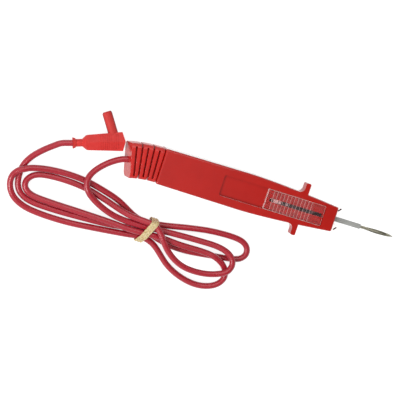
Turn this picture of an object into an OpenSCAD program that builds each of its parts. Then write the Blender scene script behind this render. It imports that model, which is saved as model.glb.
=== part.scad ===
// Test probe: a flat hand-held housing whose thumb slide pushes a thin contact tip out of the nose,
// on a moulded test lead that ends in a shrouded angled plug.
// All modules are drawn with X along the probe from the lead end, Y across and Z up from the back.

/* [Housing] */
// Length of the housing from the lead end to the nose
body_l = 150; // [125:1:180]
// Height of the closed housing
body_h = 20; // [16.6:0.1:24]
// Width where the housing is widest
body_w = 30.6; // [26:0.1:37]
// Width at the lead end
tail_w = 28.8; // [26:0.1:35]
// Width at the nose
nose_w = 20.4; // [19:0.1:25]
// Distance of the widest place from the lead end
widest_x = 70; // [50:1:84]
// Thickness of the shell
wall = 2; // [1.6:0.1:2.4]
// Thickness of the two end walls
end_wall = 2.5; // [2:0.1:3]
// Radius of the long outer edges
edge_r = 1.6; // [0.8:0.1:2]
// Radius of the housing's corners seen from above
corner_r = 1.2; // [0.8:0.1:3]

/* [Thumb slide] */
// How far the tip and its slide travel
travel = 37.5; // [30:0.5:45]
// Length of the slide
slide_l = 50; // [42:0.5:54]
// Width of the recess that the slide runs in
track_w = 17; // [14:0.1:17.6]
// Depth of that recess
track_d = 2.2; // [1.8:0.1:2.6]
// Solid face between the recess and the nose
nose_land = 10.4; // [9:0.1:14]
// Thickness of the slide's plate
plate_t = 2; // [1.6:0.1:2.4]
// Number of thumb ribs on the slide
rib_count = 12; // [6:1:12]
// Distance from one thumb rib to the next
rib_pitch = 3; // [2.4:0.1:3]
// Height of a thumb rib
rib_h = 0.8; // [0.4:0.1:1]
// Width of the slot below the slide
slot_w = 3; // [2.6:0.1:3.6]

/* [Tip] */
// How far the tip stands out of the nose when it is pushed out
tip_out = 55.6; // [44:0.5:65]
// Diameter of the contact rod
rod_d = 2.4; // [2:0.1:2.6]
// Diameter of the insulating sleeve on the rod
sleeve_d = 4.1; // [3.5:0.1:4.4]
// Length of bare rod between the sleeve and the spring cage
neck_l = 6.5; // [5:0.1:8]
// Length of the spring cage
cage_l = 18.6; // [15:0.5:21]
// Diameter of the spring cage where it bulges most
cage_d = 3.3; // [3:0.1:3.4]
// Length of the point in front of the cage
point_l = 5; // [3:0.1:6]

/* [Finger guard] */
// Width over both ears
ear_span = 43.4; // [36:0.1:50]
// Thickness of an ear along the probe
ear_t = 4; // [3:0.1:5]
// Height of an ear
ear_h = 8; // [5:0.1:9]
// Distance of the ears' front face from the nose
ear_back = 28.5; // [24:0.1:34]
// Radius of the hollow between an ear and the housing
ear_fillet = 4; // [2:0.1:5]

/* [Nose] */
// How far the two guide lugs stand out of the nose
lug_l = 5.8; // [4:0.1:8]
// Thickness of a lug across the probe
lug_t = 5.7; // [4:0.1:6]

/* [Strain relief] */
// Length of the flexible boot
boot_l = 24.3; // [20:0.1:30]
// Width of the boot
boot_w = 28; // [24:0.1:30]
// Number of slots that make the boot flexible
slot_count = 5; // [3:1:6]
// Width of a boot slot
boot_slot = 1.3; // [0.9:0.1:1.6]
// Angle that the boot is bent through
boot_bend = 14; // [5:0.5:18]

/* [Lead and plug] */
// Diameter of the lead
lead_d = 5; // [4:0.1:5.1]
// Thickness of the plug over its grip ribs
plug_t = 13; // [11:0.1:15]
// Width of the plug at its front corners
plug_w = 14.9; // [13:0.1:18]
// Length of the plug's block
plug_l = 30.5; // [27:0.1:36]
// Length of the shroud outside the plug
shroud_l = 17; // [15:0.1:23]
// Angle by which the shroud leans back towards the lead
shroud_lean = 15; // [0:1:20]
// Outer diameter of the shroud
shroud_d = 7.7; // [7:0.1:8.4]
// Diameter of the plug's contact
contact_d = 4; // [3.6:0.1:4.4]

/* [Hidden] */
$fn = 48;

// Clearances: a press fit, a running fit of a round piece, and the slide in its recess.
seat_gap = 0.05;
run_gap = 0.06;
slide_gap = 0.2;
end_gap = 0.55;
cut = 1;

// Heights: the shells meet in the middle, where the rod and the lead lie too.
split_z = body_h / 2;
axis_z = body_h / 2;
track_z = body_h - track_d;
trough_t = 1.5;
trough_z = track_z - trough_t;

// The recess and the slide, measured back from the nose.
track_x1 = body_l - nose_land;
track_x0 = track_x1 - slide_l - travel - 2 * end_gap;
slide_x1 = track_x1 - end_gap;
slide_x0 = slide_x1 - slide_l;
slide_w = track_w - 2 * slide_gap;
plate_z = track_z + 0.1;
stem_l = 8;
stem_x1 = slide_x1 - 1;
stem_x0 = stem_x1 - stem_l;
stem_w = slot_w - 0.3;
slot_x1 = stem_x1 + 0.25;
slot_x0 = stem_x0 - travel - 0.25;
first_rib = 4.45;
fine_ribs = 3;
fine_pitch = 1.3;

// The contact rail, the carriage that rides above it and the ribs that guide it.
rail_t = 0.8;
rail_w = 6;
rail_z = wall + 2;
rail_top = rail_z + rail_t;
carriage_l = 35;
carriage_w = 8;
carriage_x1 = stem_x1;
carriage_x0 = carriage_x1 - carriage_l;
carriage_z0 = rail_top + 0.4;
carriage_z1 = trough_z - 0.3;
guide_t = 1.2;
guide_x0 = carriage_x0 - travel - 5;
guide_x1 = carriage_x1 + 2;
rail_x1 = carriage_x0 + 5;

// The lead's end and the terminal, measured from the lead end of the housing.
clamp_x = 9.5;
clamp_t = 2;
stop_l = 4;
jacket_x = clamp_x + clamp_t + stop_l + 0.4;
ring_x = 30.5;
ring_r = 3.2;
barrel_x0 = 21;
barrel_x1 = 27.5;
barrel_r = 1.5;
core_r = 0.8;
rail_x0 = ring_x - 6;
terminal_r = 1.4;

// The contact rod and what it carries.
rod_r = rod_d / 2;
sleeve_r = sleeve_d / 2;
// The stem's foot stays above the sleeve where the housing is low.
stem_z0 = max(carriage_z1 - 2.4, axis_z + sleeve_r + 0.4);
tip_x = body_l + tip_out;
cage_x1 = tip_x - point_l;
cage_x0 = cage_x1 - cage_l;
sleeve_x1 = cage_x0 - neck_l;
sleeve_x0 = carriage_x1 - 4;
wiper_t = 0.4;
ferrule_l = 5;
ferrule_x1 = carriage_x0 - wiper_t;
ferrule_x0 = ferrule_x1 - ferrule_l;
rod_x0 = ferrule_x0 - 0.5;

// The housing's side curve: its middle control point stands at shoulder_x.
shoulder_x = widest_x + 0.35 * (body_l - widest_x);
curve_a = body_l - 2 * shoulder_x + widest_x;
curve_b = 2 * (shoulder_x - widest_x);

// The shell's screws: two beside the lead's clamp, two beside the carriage.
boss_r = 3;
screw_r = 1.1;
head_r = 2.1;
head_h = 1.7;
head_z = 1.2;
screw_top = split_z + 5;
screw_xs = [12, body_l - 20];
screw_ys = [half_w(screw_xs[0]) - wall - boss_r - 0.45, half_w(screw_xs[1]) - wall - boss_r + 1];
lip_t = 0.9;
inner_r = 0.5;
lip_h = 1.2;

// The ears and the nose guide.
ear_x1 = body_l - ear_back;
ear_x0 = ear_x1 - ear_t;
guide_y = nose_w / 2 - wall - 0.3;
lug_y1 = nose_w / 2 - 0.4;
lug_y0 = lug_y1 - lug_t;
lug_r = 2;
guide_z0 = wall + 3;
guide_z1 = body_h - 4;

// The boot bends about a centre beside the probe.
bend_r = boot_l / (boot_bend * PI / 180);
boot_h = body_h - 1;
joint_gap = 0.6;
boot_pitch = (boot_l - joint_gap + boot_slot) / (slot_count + 1);
boot_corner = 4;
boot_core = 9;
boot_core_h = 8;
boot_web = 2.5;
neck_w = 16;
neck_h = body_h - 8;
flange_t = 2.5;

// The plug lies on its ridge with the end of its shroud on the floor.
neck_r = 3;
plug_neck = 10.3;
plug_point = 2;
grip_h = 0.4;
grip_w = 0.9;
grip_pitch = 1.7;
grip_count = 9;
ridge = plug_t / 2 - grip_h;
ridge_slope = 20;
shroud_x = plug_neck + plug_l - 7.1;
shroud_in = 2.8;
shroud_r = shroud_d / 2;
shroud_y1 = plug_w / 2 + shroud_l;
plug_turn = 18.8;
plug_roll = atan((plug_t / 2 - shroud_r) / (shroud_y1 * cos(shroud_lean)));
contact_r = contact_d / 2;
stud_step = 0.3;
collar_l = 3;
contact_end = shroud_y1 - 1.5;

// The lead's route over the floor, from the boot to the plug: three loops at each end of a loose
// hank, gathered by the rubber band.
lead_route = [
    [-24.1, -3, 10], [-28.4, -4.1, 10], [-37.1, -9.2, 9.7], [-45.1, -16.8, 9.5], [-49, -22.7, 9.4],
    [-50.2, -27, 9.4], [-49.8, -31.4, 9.4], [-47.1, -36.3, 9.5], [-42.7, -40.2, 8.9],
    [-33.2, -45.3, 8.3], [-21.9, -49.1, 7.6], [-8.9, -50.7, 7], [11.1, -50.6, 6.5], [27.8, -49.8, 6.6],
    [50.6, -49.2, 7.4], [66.1, -49.4, 8.1], [74, -51, 8.6], [78.9, -53.5, 8.9], [81.8, -56.7, 9.2],
    [82.9, -60.7, 9.5], [81.7, -64.8, 9.9], [79.5, -67.3, 10.4], [74.3, -70.2, 10.1],
    [65.1, -72.8, 10.3], [54.2, -73.6, 10.5], [44.5, -72.5, 10.7], [36.6, -69.5, 11],
    [28.7, -64.1, 11.4], [22.1, -57.1, 12], [19.3, -53.2, 11.9], [13.7, -48.1, 11.1],
    [9.1, -46.7, 10.4], [-10, -45.3, 8], [-33, -39, 5.7], [-47, -35.6, 4.3], [-62.5, -33.9, 4.1],
    [-79.4, -34.2, 4], [-87.5, -35.7, 4], [-91.6, -37.9, 4], [-94.4, -41.3, 4], [-95.1, -44.4, 4.1],
    [-94.4, -47.5, 4.1], [-91.4, -50.6, 4.2], [-86.1, -52.6, 4.3], [-73, -53.7, 4.7],
    [-49.1, -54.3, 5.6], [-25.2, -55, 7], [-3.7, -56.1, 7.7], [17.8, -55.6, 7.5], [22.4, -55.7, 6.9],
    [36.2, -56.7, 7.1], [59.5, -57, 7.4], [67.1, -58.2, 7.8], [74.6, -61.6, 6.5], [78.3, -64.8, 5.6],
    [80.5, -68.3, 5.1], [81.1, -72.5, 4.9], [79.6, -76.7, 4.6], [76.4, -80.1, 4.4], [71.1, -82.9, 4.1],
    [62.9, -84.6, 3.7], [53.5, -84, 3.4], [42.1, -80.7, 3], [32.6, -75.7, 2.8], [18, -63.8, 2.5],
    [11.8, -61, 2.5], [5, -60, 2.5], [-8, -61.4, 2.5], [-31.7, -63.7, 2.6], [-55.3, -65.3, 3.1],
    [-76.8, -64.7, 3.9], [-89.6, -62.8, 4.5], [-97.2, -59.8, 5], [-101.9, -56.3, 5.4],
    [-105.3, -51.5, 5.8], [-106.9, -46, 6.2], [-106.6, -41.7, 6.6], [-104.6, -37.9, 6.9],
    [-102.3, -35.7, 7.6], [-99.2, -34.1, 7.5], [-95.1, -32.2, 6.8], [-83.9, -29.6, 5.9],
    [-67.3, -28.5, 4.8], [-50.6, -29.6, 3.9], [-34.3, -33.1, 3.3], [-20.8, -37.3, 2.9],
    [-4.1, -45.6, 2.6], [3.8, -47.3, 2.5], [18.5, -46.3, 2.5], [41, -42.2, 2.5], [59.5, -39.6, 2.5],
    [79.7, -39.2, 2.5], [86.7, -40.5, 2.5], [90.6, -42.8, 2.5], [92.5, -45.4, 2.5], [93.1, -48.6, 2.5],
    [92.2, -51.6, 2.5], [89.1, -54.6, 2.5], [82.3, -56.6, 2.5], [67.4, -58.5, 2.5], [44.1, -60.7, 2.5],
    [30.9, -60.3, 2.5], [18, -57.6, 2.5], [10, -55.1, 2.5], [1.6, -54.8, 2.5], [-22, -57.6, 2.5],
    [-45.9, -58.6, 2.5], [-69.9, -58.8, 2.5], [-85.3, -57.8, 2.5], [-92, -56, 2.5], [-96.7, -53, 2.5],
    [-99.7, -48.6, 2.5], [-101.3, -42, 2.6], [-100.7, -32.7, 2.5], [-97.5, -25.3, 3.5],
    [-91.6, -18.1, 4.5], [-83.2, -10.6, 5.7], [-78.2, -6.9, 6.47], [-69.8, -4.05, 6.47],
];
lead_sides = 10;
plug_at = lead_route[len(lead_route) - 1];

// The rubber band goes round the outermost strands of the hank, given as [y, z].
band_x = 8.4;
band_turn = -20;
band_strands = [[-61.1, 2.5], [-45.8, 2.5], [-46.8, 11.0], [-57.0, 7.7]];
band_mid = -52.0;
band_t = 0.85;
band_w = 1.9;
band_pitch = 2.1;
band_turns = 3;

// The part stands with the middle of the probe, from the boot's end to the tip, over the origin.
boot_end = -(bend_r + boot_w / 2) * sin(boot_bend);
x_shift = -(tip_x + boot_end) / 2;

// Half of the housing's width at x: straight at the rear, one quadratic curve to the nose.
function curve_t(x) = (sqrt(curve_b * curve_b + 4 * curve_a * (x - widest_x)) - curve_b) / (2 * curve_a);
function half_w(x) = x < widest_x
    ? (tail_w + (body_w - tail_w) * x / widest_x) / 2
    : (body_w - (body_w - nose_w) * pow(curve_t(x), 2)) / 2;

// One side of the housing's plan between x0 and x1, set in by d, with corners of radius r.
function arc(cx, cy, r, a0, a1, n) = [for (i = [0:n]) let (a = a0 + (a1 - a0) * i / n)
    [cx + r * cos(a), cy + r * sin(a)]];
function side(x0, x1, d, r) = concat(
    arc(x0 + r, half_w(x0 + r) - d - r, r, 180, 90, 4),
    [for (i = [0:14]) let (x = widest_x + (x1 - r - 0.5 - widest_x) * i / 14) [x, half_w(x) - d]],
    arc(x1 - r, half_w(x1 - r) - d - r, r, 90, 0, 4));
function mirrored(points) = [for (i = [len(points) - 1:-1:0]) [points[i][0], -points[i][1]]];
function plan(x0, x1, d, r) = concat(side(x0, x1, d, r), mirrored(side(x0, x1, d, r)));
// A rectangle about the origin with rounded corners.
function round_rect(w, h, r) = concat(
    arc(w / 2 - r, h / 2 - r, r, 0, 90, 5), arc(r - w / 2, h / 2 - r, r, 90, 180, 5),
    arc(r - w / 2, r - h / 2, r, 180, 270, 5), arc(w / 2 - r, r - h / 2, r, 270, 360, 5));

module placed() {
    translate([x_shift, 0, 0]) children();
}

module box(x0, x1, y0, y1, z0, z1) {
    translate([x0, y0, z0]) cube([x1 - x0, y1 - y0, z1 - z0]);
}

// A cylinder or cone along X, on the rod's axis unless another height is given.
module along_x(x0, x1, r, r2 = -1, z = axis_z) {
    translate([x0, 0, z]) rotate([0, 90, 0]) cylinder(h = x1 - x0, r1 = r, r2 = r2 < 0 ? r : r2);
}

// Half of the housing as a solid, from its rounded lower edge up to the split.
module half_form() {
    hull() for (k = [0:4]) {
        inset = edge_r * (1 - sin(22.5 * k));
        translate([0, 0, edge_r * (1 - cos(22.5 * k))])
            linear_extrude(k < 4 ? 0.01 : split_z - edge_r)
            polygon(plan(inset, body_l - inset, inset, corner_r));
    }
}

module upper_form() {
    translate([0, 0, body_h]) mirror([0, 0, 1]) half_form();
}

module cavity(z0, z1) {
    translate([0, 0, z0]) linear_extrude(z1 - z0)
        polygon(plan(end_wall, body_l - end_wall, wall, inner_r));
}

// The openings in the end walls for the boot's neck and for the nose guide.
module end_openings() {
    box(-cut, end_wall + cut, -neck_w / 2, neck_w / 2, axis_z - neck_h / 2, axis_z + neck_h / 2);
    box(body_l - end_wall - cut, body_l + cut, -guide_y - seat_gap, guide_y + seat_gap,
        guide_z0 - seat_gap, guide_z1 + seat_gap);
}

// The wall that grips the lead's jacket in front of its crimped sleeve.
module clamp_wall(z0, z1) {
    box(clamp_x, clamp_x + clamp_t, -6, 6, z0, z1);
}

module screw_places() {
    for (i = [0:1], s = [-1, 1]) translate([screw_xs[i], s * screw_ys[i], 0]) children();
}

module carriage_guides() {
    y = carriage_w / 2 + slide_gap;
    ledge_y = rail_w / 2 + slide_gap;
    for (s = [-1, 1]) scale([1, s, 1]) translate([guide_x0, 0, 0]) rotate([90, 0, 90])
        linear_extrude(guide_x1 - guide_x0) polygon([[ledge_y, wall - cut / 2], [y + guide_t, wall - cut / 2],
            [y + guide_t, carriage_z0 + 3.3], [y, carriage_z0 + 3.3], [y, carriage_z0 - 0.1],
            [ledge_y, carriage_z0 - 0.1]]);
}

// Three pads carry the rail; the two between the guides run from one guide to the other.
module rail_pads() {
    box(rail_x0, ring_x + 4, -rail_w / 2, rail_w / 2, wall - cut / 2, rail_z);
    for (x = [guide_x0 + 1, rail_x1 - 6])
        box(x, x + 4, -rail_w / 2 - 1, rail_w / 2 + 1, wall - cut / 2, rail_z);
}

// The joint lip: it stands on the lower shell and enters a rebate in the upper one.
module joint_lip(gap) {
    translate([0, 0, split_z - cut]) linear_extrude(cut + lip_h + gap) difference() {
        polygon(plan(end_wall - lip_t - gap, body_l - end_wall + lip_t + gap, wall - lip_t - gap, inner_r + lip_t));
        polygon(plan(end_wall, body_l - end_wall, wall, inner_r));
    }
}

module lower_shell() {
    placed() color([0.66, 0.1, 0.1]) difference() {
        union() {
            difference() {
                union() {
                    half_form();
                    joint_lip(0);
                }
                cavity(wall, split_z + lip_h + cut);
            }
            intersection() {
                screw_places() cylinder(h = split_z, r = boss_r);
                cavity(wall - cut, split_z);
            }
            clamp_wall(wall - cut, split_z);
            carriage_guides();
            rail_pads();
            for (s = [-1, 1]) box(body_l - end_wall - 4.3, body_l - end_wall - 3.1,
                s * 6.4 - 1, s * 6.4 + 1, wall - cut / 2, wall + 3);
        }
        end_openings();
        along_x(clamp_x - cut, clamp_x + clamp_t + cut, lead_d / 2 + 0.2);
        screw_places() {
            translate([0, 0, -cut]) cylinder(h = cut + head_z + head_h, r = head_r + 0.2);
            cylinder(h = split_z + cut, r = screw_r + 0.2);
        }
        translate([ring_x, 0, rail_z - 2.5]) cylinder(h = 2.5 + cut, r = terminal_r + seat_gap);
    }
}

module ear_plan() {
    y = half_w(ear_x0 - ear_fillet) - 0.5;
    tip_r = 1.2;
    polygon(concat(
        [[ear_x1, 0], [ear_x1, ear_span / 2 - tip_r]],
        arc(ear_x1 - tip_r, ear_span / 2 - tip_r, tip_r, 0, 90, 4),
        arc(ear_x0 + tip_r, ear_span / 2 - tip_r, tip_r, 90, 180, 4),
        arc(ear_x0 - ear_fillet, y + 0.5 + ear_fillet, ear_fillet, 0, -90, 6),
        [[ear_x0 - ear_fillet, 0]]));
}

module ears() {
    for (s = [0, 1]) mirror([0, s, 0]) translate([0, 0, body_h - ear_h])
        linear_extrude(ear_h) intersection() {
            ear_plan();
            translate([0, wall + track_w / 2]) square([body_l, ear_span]);
        }
}

module upper_shell() {
    placed() color([0.7, 0.11, 0.11]) difference() {
        union() {
            difference() {
                upper_form();
                cavity(split_z - cut, body_h - wall);
            }
            box(track_x0 - trough_t, track_x1 + trough_t, -track_w / 2 - trough_t, track_w / 2 + trough_t,
                trough_z, body_h - wall + 0.2);
            ears();
            clamp_wall(split_z, body_h - wall + 0.2);
            intersection() {
                screw_places() translate([0, 0, split_z]) cylinder(h = split_z - 1, r = boss_r - 0.5);
                cavity(split_z, body_h - wall + 0.2);
            }
        }
        translate([(track_x0 + track_x1) / 2, 0, track_z]) linear_extrude(track_d + cut)
            polygon(round_rect(track_x1 - track_x0, track_w, 1.5));
        translate([(slot_x0 + slot_x1) / 2, 0, trough_z - cut]) linear_extrude(trough_t + 2 * cut)
            polygon(round_rect(slot_x1 - slot_x0, slot_w, 0.5));
        end_openings();
        joint_lip(0.1);
        along_x(clamp_x - cut, clamp_x + clamp_t + cut, lead_d / 2 + 0.2);
        screw_places() translate([0, 0, split_z - cut])
            cylinder(h = screw_top - split_z + cut + 0.3, r = screw_r + seat_gap);
    }
}

// Four self-tapping screws put in from the back, with a cross recess in each head.
module shell_screws() {
    placed() color("silver") screw_places() difference() {
        union() {
            translate([0, 0, head_z]) cylinder(h = head_h, r = head_r);
            translate([0, 0, head_z + head_h - 0.1]) cylinder(h = screw_top - head_z - head_h - 0.9, r = screw_r);
            translate([0, 0, screw_top - 1]) cylinder(h = 1, r1 = screw_r, r2 = 0.4);
        }
        for (a = [0, 90]) rotate([0, 0, a]) translate([-1.1, -0.25, head_z - cut]) cube([2.2, 0.5, cut + 0.9]);
    }
}

// A place along the bent boot, s from the housing.
module along_boot(s) {
    translate([0, -bend_r, axis_z]) rotate([0, 0, s / bend_r * 180 / PI]) translate([0, bend_r, 0]) children();
}

// A profile swept along the boot's bend from s0 to s1.
module bent(s0, s1) {
    turn = (s1 - s0) / bend_r * 180 / PI;
    translate([0, -bend_r, axis_z]) rotate([0, 0, 90 + s0 / bend_r * 180 / PI])
        rotate_extrude(angle = turn, $fn = 360) translate([bend_r, 0]) children();
}

module strain_relief() {
    placed() color([0.8, 0.2, 0.2]) difference() {
        union() {
            bent(joint_gap, boot_l) polygon(round_rect(boot_w, boot_h, boot_corner));
            box(-joint_gap - 0.5, end_wall + 0.2, -neck_w / 2 + seat_gap, neck_w / 2 - seat_gap,
                axis_z - neck_h / 2 + seat_gap, axis_z + neck_h / 2 - seat_gap);
            box(end_wall + 0.1, end_wall + 0.1 + flange_t, -neck_w / 2 - 1, neck_w / 2 + 1,
                axis_z - neck_h / 2 - 1, axis_z + neck_h / 2 + 1);
        }
        for (k = [0:slot_count - 1]) along_boot(joint_gap + (k + 1) * boot_pitch - boot_slot / 2) {
            reach = k % 2 == 0 ? boot_w / 2 - boot_web : boot_w;
            for (s = [-1, 1]) {
                scale([1, s, 1]) box(-boot_slot / 2, boot_slot / 2, boot_core / 2, reach, -boot_h, boot_h);
                scale([1, 1, s]) box(-boot_slot / 2, boot_slot / 2, -boot_core / 2 - 0.2, boot_core / 2 + 0.2,
                    boot_core_h / 2, boot_h);
            }
        }
        bent(0, boot_l + cut) circle(r = lead_d / 2 + 0.15, $fn = 48);
        along_x(0, end_wall + flange_t + cut, lead_d / 2 + 0.15);
    }
}

// The lead where the boot and the housing hold it, with its bared core.
module lead_inside() {
    placed() color([0.75, 0.2, 0.25]) {
        bent(0, boot_l) circle(r = lead_d / 2, $fn = 48);
        along_x(0, jacket_x, lead_d / 2);
        barrel_z = rail_top + 0.1 + barrel_r;
        run = barrel_x0 - 0.5 - jacket_x;
        drop = axis_z - barrel_z;
        translate([jacket_x - 0.5, 0, axis_z]) rotate([0, 90 + atan(drop / run), 0])
            cylinder(h = norm([run, drop]) + 0.5, r = core_r);
        along_x(barrel_x0 - 0.9, barrel_x1 - 1, core_r, z = barrel_z);
    }
}

module stop_sleeve() {
    placed() color([0.8, 0.8, 0.82]) difference() {
        along_x(clamp_x + clamp_t + 0.1, clamp_x + clamp_t + 0.1 + stop_l, lead_d / 2 + 1.6);
        along_x(clamp_x, jacket_x + 2, lead_d / 2 + seat_gap);
    }
}

// A crimped ring terminal: barrel, neck and ring.
module terminal() {
    barrel_z = rail_top + 0.1 + barrel_r;
    placed() color([0.78, 0.76, 0.7]) difference() {
        union() {
            along_x(barrel_x0, barrel_x1 - 0.5, barrel_r, z = barrel_z);
            box(barrel_x1 - 1.5, ring_x, -1.4, 1.4, rail_top + 0.05, rail_top + 0.85);
            translate([ring_x, 0, rail_top + 0.05]) cylinder(h = 0.8, r = ring_r);
        }
        along_x(barrel_x0 - cut, barrel_x1 - 0.8, core_r + seat_gap, z = barrel_z);
        translate([ring_x, 0, rail_top - cut]) cylinder(h = 3, r = terminal_r + 0.1);
    }
}

module terminal_screw() {
    placed() color([0.82, 0.7, 0.4]) translate([ring_x, 0, 0]) difference() {
        union() {
            translate([0, 0, rail_top + 0.9]) cylinder(h = 1.7, r = 2.6);
            translate([0, 0, rail_z - 2]) cylinder(h = rail_t + 3, r = terminal_r);
        }
        translate([-3, -0.3, rail_top + 1.9]) cube([6, 0.6, 2]);
    }
}

module contact_rail() {
    placed() color([0.83, 0.68, 0.36]) difference() {
        box(rail_x0, rail_x1, -rail_w / 2, rail_w / 2, rail_z, rail_top);
        translate([ring_x, 0, rail_z - cut]) cylinder(h = rail_t + 2 * cut, r = terminal_r + 0.1);
    }
}

// The clear insert that guides the sleeve; its two lugs stand out of the nose and hold it from outside.
module nose_guide() {
    plate_x1 = body_l - end_wall;
    placed() color([0.75, 0.85, 0.85, 0.6]) difference() {
        union() {
            box(plate_x1 - 2.9, plate_x1 - 0.05, -guide_y, guide_y, wall + 0.1, body_h - wall - 0.1);
            box(plate_x1 - 0.1, body_l, -guide_y, guide_y, guide_z0, guide_z1);
            for (s = [0, 1]) mirror([0, s, 0]) translate([body_l, 0, guide_z0])
                linear_extrude(guide_z1 - guide_z0) polygon(concat(
                    [[-0.5, lug_y0]], arc(lug_l - lug_r, lug_y0 + lug_r, lug_r, -90, 0, 4),
                    arc(lug_l - lug_r, lug_y1 - lug_r, lug_r, 0, 90, 4),
                    [[0.1, lug_y1], [0.1, guide_y - 0.05], [-0.5, guide_y - 0.05]]));
        }
        along_x(plate_x1 - 4, body_l + cut, sleeve_r + run_gap);
    }
}

// Side view of the slide: a plate with slanted thumb ribs, finer ones behind them.
function tooth(x, pitch) = [[x, plate_t], [x + pitch * 0.25, plate_t + rib_h], [x + pitch * 0.85, plate_t]];
module slide_profile() {
    fine = [for (i = [0:fine_ribs - 1]) each tooth(0.5 + i * fine_pitch, fine_pitch)];
    coarse = [for (i = [0:rib_count - 1]) each tooth(first_rib + i * rib_pitch, rib_pitch)];
    polygon(concat([[0, 0], [0, plate_t]], fine, coarse, [[slide_l, plate_t], [slide_l, 0]]));
}

module thumb_slide() {
    placed() color([0.75, 0.85, 0.85, 0.5]) union() {
        intersection() {
            translate([slide_x0, slide_w / 2, plate_z]) rotate([90, 0, 0]) linear_extrude(slide_w) slide_profile();
            translate([(slide_x0 + slide_x1) / 2, 0, plate_z - cut]) linear_extrude(plate_t + rib_h + 2 * cut)
                polygon(round_rect(slide_l, slide_w, 1.4));
        }
        box(stem_x0, stem_x1, -stem_w / 2, stem_w / 2, stem_z0, plate_z + 0.5);
    }
}

// The block under the slide: it holds the rod, the sleeve's end and the slide's stem.
module carriage() {
    placed() color([0.25, 0.25, 0.27]) difference() {
        box(carriage_x0, carriage_x1, -carriage_w / 2, carriage_w / 2, carriage_z0, carriage_z1);
        along_x(carriage_x0 - cut, carriage_x1 + cut, rod_r + seat_gap);
        along_x(sleeve_x0 - seat_gap, carriage_x1 + cut, sleeve_r + seat_gap);
        box(stem_x0 - seat_gap, stem_x1 + cut, -stem_w / 2 - seat_gap, stem_w / 2 + seat_gap,
            stem_z0 - 0.1, carriage_z1 + cut);
        translate([carriage_x0 + 5, 0, axis_z]) cylinder(h = body_h, r = 1.25 + seat_gap);
    }
}

module carriage_screw() {
    z = axis_z + rod_r + 0.05;
    placed() color([0.4, 0.4, 0.42]) translate([carriage_x0 + 5, 0, z]) difference() {
        cylinder(h = carriage_z1 - 0.6 - z, r = 1.25);
        translate([0, 0, carriage_z1 - 1.6 - z]) linear_extrude(2) circle(r = 0.7, $fn = 6);
    }
}

module tip_rod() {
    placed() color([0.86, 0.84, 0.78]) {
        along_x(rod_x0, cage_x0, rod_r);
        along_x(cage_x0 - 0.1, cage_x1 + 0.1, 0.85);
        along_x(cage_x1, cage_x1 + 1, 1.2);
        along_x(cage_x1 + 1, tip_x, 1.2, 0.25);
    }
}

module tip_sleeve() {
    placed() color([0.62, 0.62, 0.62]) difference() {
        along_x(sleeve_x0, sleeve_x1, sleeve_r);
        along_x(sleeve_x0 - cut, sleeve_x1 + cut, rod_r + seat_gap);
    }
}

// A lantern spring: a thin tube that bulges in the middle and is slit lengthways.
function bulge(l, r_end, r_mid, end) = concat([[r_end, 0]],
    [for (i = [0:8]) let (u = i / 8) [r_end + (r_mid - r_end) * sin(180 * u), end + (l - 2 * end) * u]],
    [[r_end, l]]);
module lantern(l, r_end, r_mid, thick, slits, slit_w) {
    end = 1.6;
    outer = bulge(l, r_end, r_mid, end);
    inner = [for (i = [len(outer) - 1:-1:0]) [outer[i][0] - thick, outer[i][1]]];
    difference() {
        rotate_extrude() polygon(concat(outer, inner));
        for (k = [0:slits - 1]) rotate([0, 0, 360 / slits * k])
            translate([0, -slit_w / 2, end]) cube([r_mid + 1, slit_w, l - 2 * end]);
    }
}

module tip_cage() {
    placed() color([0.9, 0.87, 0.78]) translate([cage_x0 + 0.05, 0, axis_z]) rotate([0, 90, 0])
        lantern(cage_l - 0.1, 1.35, cage_d / 2, 0.4, 5, 0.6);
}

module rod_ferrule() {
    placed() color([0.83, 0.68, 0.36]) difference() {
        along_x(ferrule_x0, ferrule_x1, 2);
        along_x(ferrule_x0 - cut, ferrule_x1 + cut, rod_r + seat_gap);
    }
}

// The sliding contact: one bent strip, held between the ferrule and the carriage, pressing on the
// rail below and against the underside of the recess above.
module wiper_spring() {
    x = carriage_x0;
    top = carriage_z1 - 0.1;
    foot = rail_top + 0.05;
    t = wiper_t;
    placed() color([0.95, 0.9, 0.78]) difference() {
        translate([0, 1.65, 0]) rotate([90, 0, 0]) linear_extrude(3.3) polygon([
            [x, foot + 1.4], [x, top], [x - 7.4, top], [x - 7.8, top - 0.9], [x - 7.4, top - 1.1],
            [x - 7, top - t], [x - t, top - t - 0.2], [x - t, foot + 1.5], [x - 4.6, foot + t],
            [x - 5.6, foot + t], [x - 6.6, foot + 1.1], [x - 6.9, foot + 0.8], [x - 5.8, foot],
            [x - 4.4, foot]]);
        along_x(x - 2, x + 1, rod_r + seat_gap);
    }
}

// One ring of the tube round the route's point i, square to the way the lead runs there.
function lead_way(i) = let (a = lead_route[max(i - 1, 0)], b = lead_route[min(i + 1, len(lead_route) - 1)])
    (b - a) / norm(b - a);
function lead_ring(i) = let (w = lead_way(i), s = cross(w, [0, 0, 1]), across = s / norm(s), up = cross(across, w))
    [for (k = [0:lead_sides - 1]) let (a = 360 / lead_sides * k - 90)
        lead_route[i] + lead_d / 2 * (cos(a) * across + sin(a) * up)];

module lead() {
    rings = len(lead_route);
    n = lead_sides;
    placed() color([0.78, 0.22, 0.28]) polyhedron(
        points = [for (i = [0:rings - 1]) each lead_ring(i)],
        faces = concat([[for (k = [0:n - 1]) k]],
            [for (i = [0:rings - 2], k = [0:n - 1])
                [i * n + k, (i + 1) * n + k, (i + 1) * n + (k + 1) % n, i * n + (k + 1) % n]],
            [[for (k = [n - 1:-1:0]) (rings - 1) * n + k]]));
}

// The outline round the band's strands, r from their middles.
module band_outline(r) {
    hull() for (p = band_strands)
        translate([(p[0] - band_mid) / cos(band_turn), p[1]]) circle(r = r, $fn = 24);
}

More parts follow.
